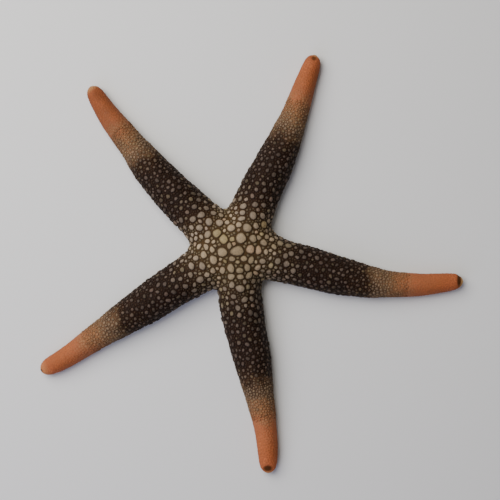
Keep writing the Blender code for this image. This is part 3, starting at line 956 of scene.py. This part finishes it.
@dataclass
class Underside:
    """What lines the grooves and the mouth: furrow spines, tube feet and mouth spines.

    Rows begin at first along an arm and end at last_share, spacing is the step between two spines,
    and widest the greatest width that counts as a groove. The skin is open where it is more than
    open_depth above the flat underside. Sizes that end in _in are measured inward from a groove's
    edge, those in _foot are heights to stand at, and those in _rise say how steeply spines point up.
    Tube feet hang where the roof is above tube_roof. jaw_limits are where a jaw's edge is looked for.
    """

    skin: Skin
    plates: Plates
    spacing: float = 0.66 * MM
    first: float = 5.2 * MM
    last_share: float = 0.955
    widest: float = 4.4 * MM
    open_depth: float = 0.3 * MM
    spine_length: float = 1.2 * MM
    spine_in: float = 0.3 * MM
    spine_foot: float = 0.42 * MM
    spine_fan: float = 0.35
    spine_rise: Pair = (0.2, 0.4)
    uneven: Pair = (0.9, 1.1)
    granule_in: float = 0.95 * MM
    granule: Pair = (0.5 * MM, 0.42 * MM)
    tube_roof: float = 1.0 * MM
    tube_sunk: float = 0.1 * MM
    tube_tilt: float = 0.25
    mouth_spine: float = 1.7 * MM
    mouth_spine_foot: float = 0.48 * MM
    mouth_rise: Pair = (0.25, 0.45)
    mouth_granule: Pair = (0.4 * MM, 0.4 * MM)
    mouth_fans: int = 7
    jaw_half: float = 1.25 * MM
    jaw_limits: Pair = (1.5 * MM, 6.0 * MM)
    spines: PegPiece = field(default_factory=lambda: PegPiece("furrow_spines", SPINE, 0.25 * MM))
    tube_feet: PegPiece = field(default_factory=lambda: PegPiece("tube_feet", TUBE_FOOT, 0.3 * MM))
    mouth: PegPiece = field(default_factory=lambda: PegPiece("mouth_spines", SPINE, 0.34 * MM))

    def roof(self, x: float, y: float) -> float:
        """Height of the skin's lower side over a place in plan."""
        hit = self.skin.tree.ray_cast(Vector((x, y, -1 * MM)), UP)[0]
        return hit.z if hit else 0.0

    def opening(self, arm: Arm, along: float) -> Pair | None:
        """The groove's two edges at a distance along an arm, as offsets to the left.

        Args:
            arm: The arm.
            along: Distance out along it.

        Returns:
            The right and the left edge, or None where there is no groove.
        """
        middle, left = arm.middle(along)
        offsets = GROOVE_OFFSETS
        centre = len(offsets) // 2
        heights = np.array([self.roof(*(middle + left * offset + PLAN.centre)) for offset in offsets])
        deep = heights > self.skin.floor_gap + self.open_depth
        if not deep[centre]:
            return None
        low = high = centre
        while low > 0 and deep[low - 1]:
            low -= 1
        while high < len(offsets) - 1 and deep[high + 1]:
            high += 1
        if offsets[high] - offsets[low] > self.widest:
            return None
        return float(offsets[low]), float(offsets[high])

    def lay_granule(self, place: Array, halves: Pair) -> None:
        """Lay a granule of the underside at a place in plan."""
        self.plates.add(np.array([*place, self.skin.floor_gap]), DOWNWARD, halves, 0.0, Kind.UNDER)

    def line_grooves(self, chance: Chance) -> None:
        """Set furrow spines along both edges of each groove, and granules and tube feet in it.

        Args:
            chance: The source of chance.
        """
        for arm in PLAN.arms:
            before = len(self.spines.feet)
            for number, along in enumerate(np.arange(self.first, self.last_share * arm.length, self.spacing)):
                edges = self.opening(arm, along)
                if edges is None:
                    continue
                middle, left = arm.middle(along)
                ahead = np.array([left[1], -left[0]])
                half = (edges[1] - edges[0]) / 2
                for edge, inward in ((edges[1], -1.0), (edges[0], 1.0)):
                    fan = chance.uniform(-self.spine_fan, self.spine_fan)
                    foot = PLAN.centre + middle + left * (edge - inward * self.spine_in)
                    way = np.array([*(left * inward + ahead * fan), chance.uniform(*self.spine_rise)])
                    length = min(self.spine_length, 0.95 * half) * chance.uniform(*self.uneven)
                    self.spines.add(foot, self.spine_foot, way, length)
                    if number % 2:
                        beside = PLAN.centre + middle + left * (edge - inward * self.granule_in)
                        self.lay_granule(beside, self.granule)
                    else:
                        self.set_tube_foot(chance, PLAN.centre + middle - left * inward * 0.38 * half)
            LOG.info("%s arm: %d furrow spines", arm.name, len(self.spines.feet) - before)

    def set_tube_foot(self, chance: Chance, place: Array) -> None:
        """Hang a tube foot from the groove's roof, where that is high enough.

        Args:
            chance: The source of chance.
            place: Where it hangs, in plan.
        """
        roof = self.roof(*place)
        if roof > self.tube_roof:
            tilt = self.tube_tilt
            lean = np.array([chance.uniform(-tilt, tilt), chance.uniform(-tilt, tilt), -1.0])
            self.tube_feet.add(place, roof + self.tube_sunk, lean, 0.5 * roof)

    def line_mouth(self, chance: Chance) -> None:
        """Set a fan of spines on each of the mouth's five jaws.

        Args:
            chance: The source of chance.
        """
        open_height = self.skin.floor_gap + self.open_depth
        for arm in PLAN.arms:
            away = np.array(arm.fork) / np.linalg.norm(arm.fork)
            side = np.array([-away[1], away[0]])
            reach, last = self.jaw_limits
            while self.roof(*(PLAN.centre + away * reach)) > open_height and reach < last:
                reach += JAW_STEP
            for fan in np.linspace(-1.0, 1.0, self.mouth_fans):
                back = reach + (0.35 + 0.35 * fan * fan) * MM
                foot = PLAN.centre + away * back + side * fan * self.jaw_half
                way = np.array([*(-away + side * fan * 0.45), chance.uniform(*self.mouth_rise)])
                length = self.mouth_spine * (1.0 - 0.25 * fan * fan)
                self.mouth.add(foot, self.mouth_spine_foot, way, length)
                self.lay_granule(foot, self.mouth_granule)


class Sheet:
    """A node tree that is built one node at a time."""

    def __init__(self, tree: bpy.types.NodeTree) -> None:
        """Work on the given tree."""
        self.tree = tree

    def feed(self, node: bpy.types.Node, inputs: dict[str | int, object]) -> None:
        """Feed a node.

        Args:
            node: The node.
            inputs: What feeds each input, an output socket or a plain value.
        """
        for name, value in inputs.items():
            if isinstance(value, Socket):
                self.tree.links.new(value, node.inputs[name])
            else:
                node.inputs[name].default_value = value

    def node(self, kind: str, settings: dict[str, object] | None = None,
             inputs: dict[str | int, object] | None = None) -> bpy.types.Node:
        """Add one node.

        Args:
            kind: The node's type.
            settings: Its own settings.
            inputs: What feeds each input.

        Returns:
            The node.
        """
        made = self.tree.nodes.new(kind)
        for name, value in (settings or {}).items():
            setattr(made, name, value)
        self.feed(made, inputs or {})
        return made

    def number(self, name: str) -> Socket:
        """The value of one of the mesh's own numbers."""
        return self.node("ShaderNodeAttribute", {"attribute_name": name}).outputs["Fac"]

    def maths(self, operation: str, *values: object) -> Socket:
        """The result of one sum of plain numbers or sockets."""
        made = self.node("ShaderNodeMath", {"operation": operation}, dict(enumerate(values)))
        return made.outputs[0]

    def fit(self, value: object, low: float, high: float, to_low: float = 0.0,
            to_high: float = 1.0) -> Socket:
        """A value taken smoothly from one range to another, and held inside it."""
        made = self.node("ShaderNodeMapRange", {"interpolation_type": "SMOOTHSTEP"},
                         {0: value, 1: low, 2: high, 3: to_low, 4: to_high})
        return made.outputs[0]

    def mix(self, how: str, share: object, first: object, second: object) -> Socket:
        """Two colours mixed in the named way."""
        made = self.node("ShaderNodeMix", {"data_type": "RGBA", "blend_type": how},
                         {"Factor": share, 6: first, 7: second})
        return made.outputs[2]

    def lit(self, colour: object, light: object) -> Socket:
        """A colour made lighter or darker by a plain number."""
        grey = self.node("ShaderNodeCombineColor", None, {0: light, 1: light, 2: light})
        return self.mix("MULTIPLY", 1.0, colour, grey.outputs[0])

    def ramp(self, value: object, colours: Stops) -> Socket:
        """Take a colour from a ramp.

        Args:
            value: The place on the ramp.
            colours: The ramp's places and colours.

        Returns:
            The colour.
        """
        made = self.node("ShaderNodeValToRGB", None, {"Fac": value})
        elements = made.color_ramp.elements
        while len(elements) < len(colours):
            elements.new(0.5)
        for element, (place, colour) in zip(elements, colours):
            element.position = place
            element.color = (*colour, 1.0)
        return made.outputs[0]


def new_group(name: str, inputs: dict[str, str], outputs: dict[str, str]
              ) -> tuple[Sheet, Outputs, bpy.types.Node]:
    """Start a shader node group.

    Args:
        name: The group's name.
        inputs: The type of each input by name.
        outputs: The type of each output by name.

    Returns:
        The sheet to build on, what the group is given, and the node that takes its results.
    """
    tree = bpy.data.node_groups.new(name, "ShaderNodeTree")
    for way, sockets in (("INPUT", inputs), ("OUTPUT", outputs)):
        for socket, kind in sockets.items():
            tree.interface.new_socket(socket, in_out=way, socket_type=f"NodeSocket{kind}")
    sheet = Sheet(tree)
    return sheet, sheet.node("NodeGroupInput").outputs, sheet.node("NodeGroupOutput")


def new_material(name: str) -> tuple[Material, Sheet, bpy.types.Node]:
    """Start a material.

    Args:
        name: The material's name.

    Returns:
        The material, the sheet to build on, and its shader.
    """
    made = bpy.data.materials.new(name)
    made.use_nodes = True
    return made, Sheet(made.node_tree), made.node_tree.nodes["Principled BSDF"]


def build_grain() -> bpy.types.NodeTree:
    """Build fine round granules.

    Returns:
        The group: a height for bump, and a mask that is dark between the granules.
    """
    sheet, given, result = new_group("fine granules", {"Vector": "Vector", "Width": "Float"},
                                     {"Height": "Float", "Mask": "Float"})
    cells = sheet.node("ShaderNodeTexVoronoi", {"feature": "F1"}, {
        "Vector": given["Vector"], "Scale": sheet.maths("DIVIDE", 1.0, given["Width"]), "Randomness": 0.85})
    round_top = sheet.fit(cells.outputs["Distance"], 0.0, 0.75, 1.0, 0.0)
    sheet.feed(result, {"Height": round_top, "Mask": sheet.fit(round_top, 0.0, 0.5)})
    return sheet.tree


def build_mottle() -> bpy.types.NodeTree:
    """Build the unevenness of a dried surface.

    Returns:
        The group: a slow and a fine share, both from 0 to 1.
    """
    sheet, given, result = new_group("dried mottle", {"Vector": "Vector"}, {"Slow": "Float", "Fine": "Float"})
    for name, scale, detail in (("Slow", 190.0, 3.0), ("Fine", 1900.0, 4.0)):
        noise = sheet.node("ShaderNodeTexNoise", None,
                           {"Vector": given["Vector"], "Scale": scale, "Detail": detail})
        sheet.feed(result, {name: sheet.fit(noise.outputs["Fac"], 0.3, 0.7)})
    return sheet.tree


@dataclass(frozen=True)
class Effects:
    """The node groups that all finishes share, each built once."""

    grain: bpy.types.NodeTree = field(default_factory=build_grain)
    mottle: bpy.types.NodeTree = field(default_factory=build_mottle)


# Screen colours along an arm: share of the arm's length, red, green and blue
SKIN_STOPS = stops(
    (0.0, 69, 50, 26), (0.12, 70, 51, 26), (0.2, 54, 34, 15), (0.28, 36, 17, 5), (0.5, 35, 17, 5),
    (0.565, 46, 25, 8), (0.6, 84, 60, 40), (0.65, 112, 82, 58), (0.72, 141, 96, 62), (0.8, 167, 95, 60),
    (0.9, 171, 94, 55), (1.0, 181, 102, 62))
PLATE_STOPS = stops(
    (0.0, 156, 135, 105), (0.1, 167, 146, 116), (0.17, 153, 135, 114), (0.24, 120, 105, 90),
    (0.32, 95, 81, 71), (0.5, 88, 73, 63), (0.57, 102, 84, 68), (0.63, 138, 114, 88))
SMALL_STOPS = stops(
    (0.0, 114, 99, 74), (0.1, 117, 102, 77), (0.17, 101, 86, 65), (0.24, 66, 49, 33), (0.32, 52, 36, 24),
    (0.5, 51, 35, 22), (0.565, 67, 48, 32), (0.6, 109, 83, 59))
GRAIN_STOPS = stops(
    (0.55, 102, 79, 60), (0.6, 130, 108, 86), (0.68, 143, 114, 85), (0.74, 153, 107, 73),
    (0.8, 158, 95, 61), (0.88, 158, 90, 53), (0.94, 157, 86, 51), (1.0, 173, 95, 59))
UNDER_STOPS = stops(
    (0.0, 196, 172, 128), (0.3, 186, 158, 114), (0.6, 180, 138, 96), (0.8, 170, 110, 70), (1.0, 168, 102, 62))
SIEVE_STOPS = stops((0.0, 164, 142, 104), (1.0, 164, 142, 104))
FOOT_STOPS = stops((0.0, 150, 112, 70), (1.0, 158, 108, 62))
# Dark brown of the spots at the arms' ends and of the mouth: partly their own colour, partly painted shade in
# the sunken groove ends and the mouth's pit.
DARK_SPOT_AND_SHADE_COLOUR = (*paint(78, 43, 16), 1.0)
CAP_COLOUR = (*paint(208, 170, 112), 1.0)
# Tints that multiply a colour
YELLOW = (1.02, 1.03, 0.82, 1.0)
PINK = (1.05, 0.95, 0.93, 1.0)
WHITE = (1.0, 1.0, 1.0, 1.0)
UNDER_DIM = (0.5, 0.46, 0.42, 1.0)


@dataclass(frozen=True)
class Finish:
    """A dry matte finish of the skin or of one kind of pebble.

    stops are its colours along the arm. tone is how light the lightest pebble is and tone_low the
    darkest one's share of that, rim_dark how dark a pebble's edge is, hue how strongly pebbles are
    tinted, grain the width of the fine granules and relief how deep they look, in millimetres, and
    speckle how strongly they and the mottle tint the colour.
    """

    name: str
    stops: Stops
    tone: float = 1.0
    tone_low: float = 0.75
    rim_dark: float = 0.55
    hue: float = 1.0
    grain: float = 0.42
    relief: float = 0.05
    speckle: float = 1.0
    roughness: float = 0.66
    shine: float = 0.16

    def material(self, effects: Effects) -> Material:
        """Build the material.

        Args:
            effects: The shared node groups.

        Returns:
            The finished material.
        """
        made, sheet, shader = new_material(self.name)
        where = sheet.node("ShaderNodeTexCoord").outputs["Object"]
        mottle = sheet.node("ShaderNodeGroup", {"node_tree": effects.mottle}, {"Vector": where}).outputs
        grain = sheet.node("ShaderNodeGroup", {"node_tree": effects.grain},
                           {"Vector": where, "Width": self.grain * MM}).outputs
        wander = sheet.maths("MULTIPLY_ADD", mottle["Slow"], 0.05, -0.025)
        colour = sheet.ramp(sheet.maths("ADD", sheet.number("share"), wander), self.stops)
        # Painted light and shade: the colour made lighter or darker, per arm toward its end and across the
        # disc, by the mesh's painted light number.
        colour = sheet.lit(self.vary(sheet, colour, mottle, grain), sheet.number("glow"))
        cap = sheet.maths("MULTIPLY", sheet.number("cap"), 0.8)
        colour = sheet.mix("MIX", cap, colour, CAP_COLOUR)
        # The dark spots: partly their own colour, partly painted shade in the sunken groove ends and the
        # mouth's pit.
        colour = sheet.mix("MIX", sheet.fit(sheet.number("notch"), 0.05, 0.95), colour, DARK_SPOT_AND_SHADE_COLOUR)
        rough = sheet.fit(mottle["Fine"], 0.0, 1.0, self.roughness - 0.08, self.roughness + 0.12)
        height = sheet.maths("MULTIPLY_ADD", mottle["Fine"], 0.35, grain["Height"])
        bump = sheet.node("ShaderNodeBump", None,
                          {"Strength": 0.8, "Distance": self.relief * MM, "Height": height})
        sheet.feed(shader, {"Base Color": colour, "Roughness": rough, "Specular IOR Level": self.shine,
                            "Normal": bump.outputs["Normal"]})
        return made

    def vary(self, sheet: Sheet, colour: Socket, mottle: Outputs,
             grain: Outputs) -> Socket:
        """Make one pebble differ from the next, and its edge and pores darker.

        Args:
            sheet: The sheet to build on.
            colour: The colour so far.
            mottle: What the dried mottle group gives.
            grain: What the fine granules group gives.

        Returns:
            The varied colour.
        """
        tone = sheet.fit(sheet.number("chance"), 0.0, 1.0, self.tone_low * self.tone, self.tone)
        rim = sheet.fit(sheet.number("rim"), 0.6, 1.0, 1.0, self.rim_dark)
        pores = sheet.fit(grain["Mask"], 0.0, 1.0, 1.0 - 0.18 * self.speckle, 1.0)
        specks = sheet.fit(mottle["Fine"], 0.0, 1.0, 1.0 - 0.14 * self.speckle, 1.0 + 0.06 * self.speckle)
        light = sheet.maths("MULTIPLY", sheet.maths("MULTIPLY", tone, rim),
                            sheet.maths("MULTIPLY", pores, specks))
        hue, tint = sheet.number("hue"), WHITE
        for start, end, shade in ((0.72, 1.0, YELLOW), (0.3, 0.0, PINK)):
            strength = sheet.maths("MULTIPLY", sheet.fit(hue, start, end), self.hue)
            tint = sheet.mix("MIX", strength, tint, shade)
        return sheet.lit(sheet.mix("MULTIPLY", 1.0, colour, tint), light)


@dataclass(frozen=True)
class SkinFinish(Finish):
    """The dull skin between the plates, paler under the body than on its back."""

    def vary(self, sheet: Sheet, colour: Socket, mottle: Outputs,
             grain: Outputs) -> Socket:
        """Fade the skin to the underside's colour, with darker pores.

        Args:
            sheet: The sheet to build on.
            colour: The colour so far.
            mottle: What the dried mottle group gives.
            grain: What the fine granules group gives.

        Returns:
            The varied colour.
        """
        below = sheet.fit(sheet.number("facing"), -0.35, -0.75)
        under = sheet.mix("MULTIPLY", 1.0, sheet.ramp(sheet.number("share"), UNDER_STOPS), UNDER_DIM)
        pores = sheet.fit(grain["Mask"], 0.0, 1.0, 0.75, 1.05)
        light = sheet.maths("MULTIPLY", pores, sheet.fit(mottle["Slow"], 0.0, 1.0, 0.85, 1.1))
        return sheet.lit(sheet.mix("MIX", below, colour, under), light)


FINISHES = {
    Kind.DISC: Finish("disc plate", PLATE_STOPS, tone_low=0.8),
    Kind.SIEVE: Finish("sieve plate", SIEVE_STOPS, tone_low=1.0, hue=0.0, grain=0.3, relief=0.02),
    Kind.MAIN: Finish("arm plate", PLATE_STOPS, tone=1.1, tone_low=0.58),
    Kind.FILL: Finish("small plate", SMALL_STOPS, tone=1.15, tone_low=0.6, rim_dark=0.6, hue=0.5,
                      relief=0.03),
    Kind.TAN: Finish("tan granule", GRAIN_STOPS, tone=1.03, tone_low=0.72, rim_dark=0.7, hue=0.5,
                     relief=0.02),
    Kind.TIP: Finish("orange granule", GRAIN_STOPS, tone_low=0.97, rim_dark=0.98, hue=0.3,
                     relief=0.012, speckle=0.4),
    Kind.UNDER: Finish("underside granule", UNDER_STOPS, rim_dark=0.65, hue=0.5, relief=0.02),
}
SPINE_FINISH = Finish("spine", UNDER_STOPS, tone_low=0.85, rim_dark=0.6, hue=0.3, grain=0.25,
                      relief=0.02)
FOOT_FINISH = Finish("dried tube foot", FOOT_STOPS, tone_low=0.8, rim_dark=0.7, grain=0.2,
                     relief=0.03)
SKIN_FINISH = SkinFinish("dried skin", SKIN_STOPS, grain=0.36, relief=0.06, roughness=0.72)


@dataclass(frozen=True)
class Lamp:
    """A soft square lamp, turned to the starfish."""

    name: str
    place: Place
    width: float
    power: float
    colour: Colour


@dataclass(frozen=True)
class Studio:
    """The pale floor, the soft light and the camera that looks straight down.

    view_width is how much of the floor the picture shows, level with view_middle.
    """

    floor_width: float = 4.0
    floor_drop: float = 0.05 * MM
    floor_colour: Colour = (0.8, 0.795, 0.79)
    floor_roughness: float = 0.85
    floor_shine: float = 0.2
    lens: float = 85.0
    sensor: float = 36.0
    nearest: float = 0.01
    view_width: float = 177.5 * MM
    view_middle: Place = (-0.69 * MM, 5.02 * MM, 5.0 * MM)
    lamps: tuple[Lamp, ...] = (
        Lamp("key", (-0.22, 0.18, 0.38), 0.42, 3.2, (1.0, 0.985, 0.945)),
        Lamp("cool_side", (-0.28, -0.33, 0.33), 0.4, 0.9, (0.62, 0.66, 1.0)),
    )
    sky: Colour = (0.15, 0.143, 0.135)

    def lay_floor(self) -> None:
        """Lay the plain pale floor."""
        form = bmesh.new()
        bmesh.ops.create_grid(form, x_segments=1, y_segments=1, size=self.floor_width / 2)
        bmesh.ops.translate(form, verts=form.verts, vec=(0.0, 0.0, -self.floor_drop))
        mesh = bpy.data.meshes.new("floor")
        form.to_mesh(mesh)
        form.free()
        material, sheet, shader = new_material("pale floor")
        sheet.feed(shader, {"Base Color": (*self.floor_colour, 1.0), "Roughness": self.floor_roughness,
                            "Specular IOR Level": self.floor_shine})
        mesh.materials.append(material)
        floor = add_object("floor", mesh)

    def hang_lamps(self) -> None:
        """Hang the soft lamps, and tint the room."""
        for lamp in self.lamps:
            light = bpy.data.lights.new(lamp.name, "AREA")
            light.size = lamp.width
            light.energy = lamp.power
            light.color = lamp.colour
            holder = add_object(lamp.name, light)
            holder.location = lamp.place
            holder.rotation_euler = (-Vector(lamp.place)).to_track_quat("-Z", "Y").to_euler()
        world = bpy.data.worlds.new("studio")
        world.use_nodes = True
        world.node_tree.nodes["Background"].inputs["Color"].default_value = (*self.sky, 1.0)
        bpy.context.scene.world = world

    def set_camera(self) -> None:
        """Set the camera over the starfish, with the photograph's width in view."""
        data = bpy.data.cameras.new("camera")
        data.lens = self.lens
        data.sensor_width = self.sensor
        data.clip_start = self.nearest
        camera = add_object("camera", data)
        x, y, z = self.view_middle
        camera.location = (x, y, z + self.view_width * self.lens / self.sensor)
        bpy.context.scene.camera = camera


def main() -> None:
    """Build the starfish's looks and the studio round it."""
    logging.basicConfig(level=logging.INFO, format="%(message)s")
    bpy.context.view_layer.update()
    chance = np.random.default_rng(SEED)
    effects = Effects()
    skin = Skin()
    skin.shape()
    skin.dress(SKIN_FINISH.material(effects))
    cover = PlateCover(skin)
    cover.lay_read_plates()
    underside = Underside(skin, cover.plates)
    underside.line_grooves(chance)
    underside.line_mouth(chance)
    for layer in LAYERS:
        cover.scatter(chance, layer)
    for form in FORMS:
        PebblePiece(cover, form).build(chance, FINISHES[form.kind].material(effects))
    underside.spines.build(chance, SPINE_FINISH.material(effects))
    underside.mouth.build(chance, SPINE_FINISH.material(effects))
    underside.tube_feet.build(chance, FOOT_FINISH.material(effects))
    studio = Studio()
    studio.lay_floor()
    studio.hang_lamps()
    studio.set_camera()


if __name__ == "__main__":
    main()
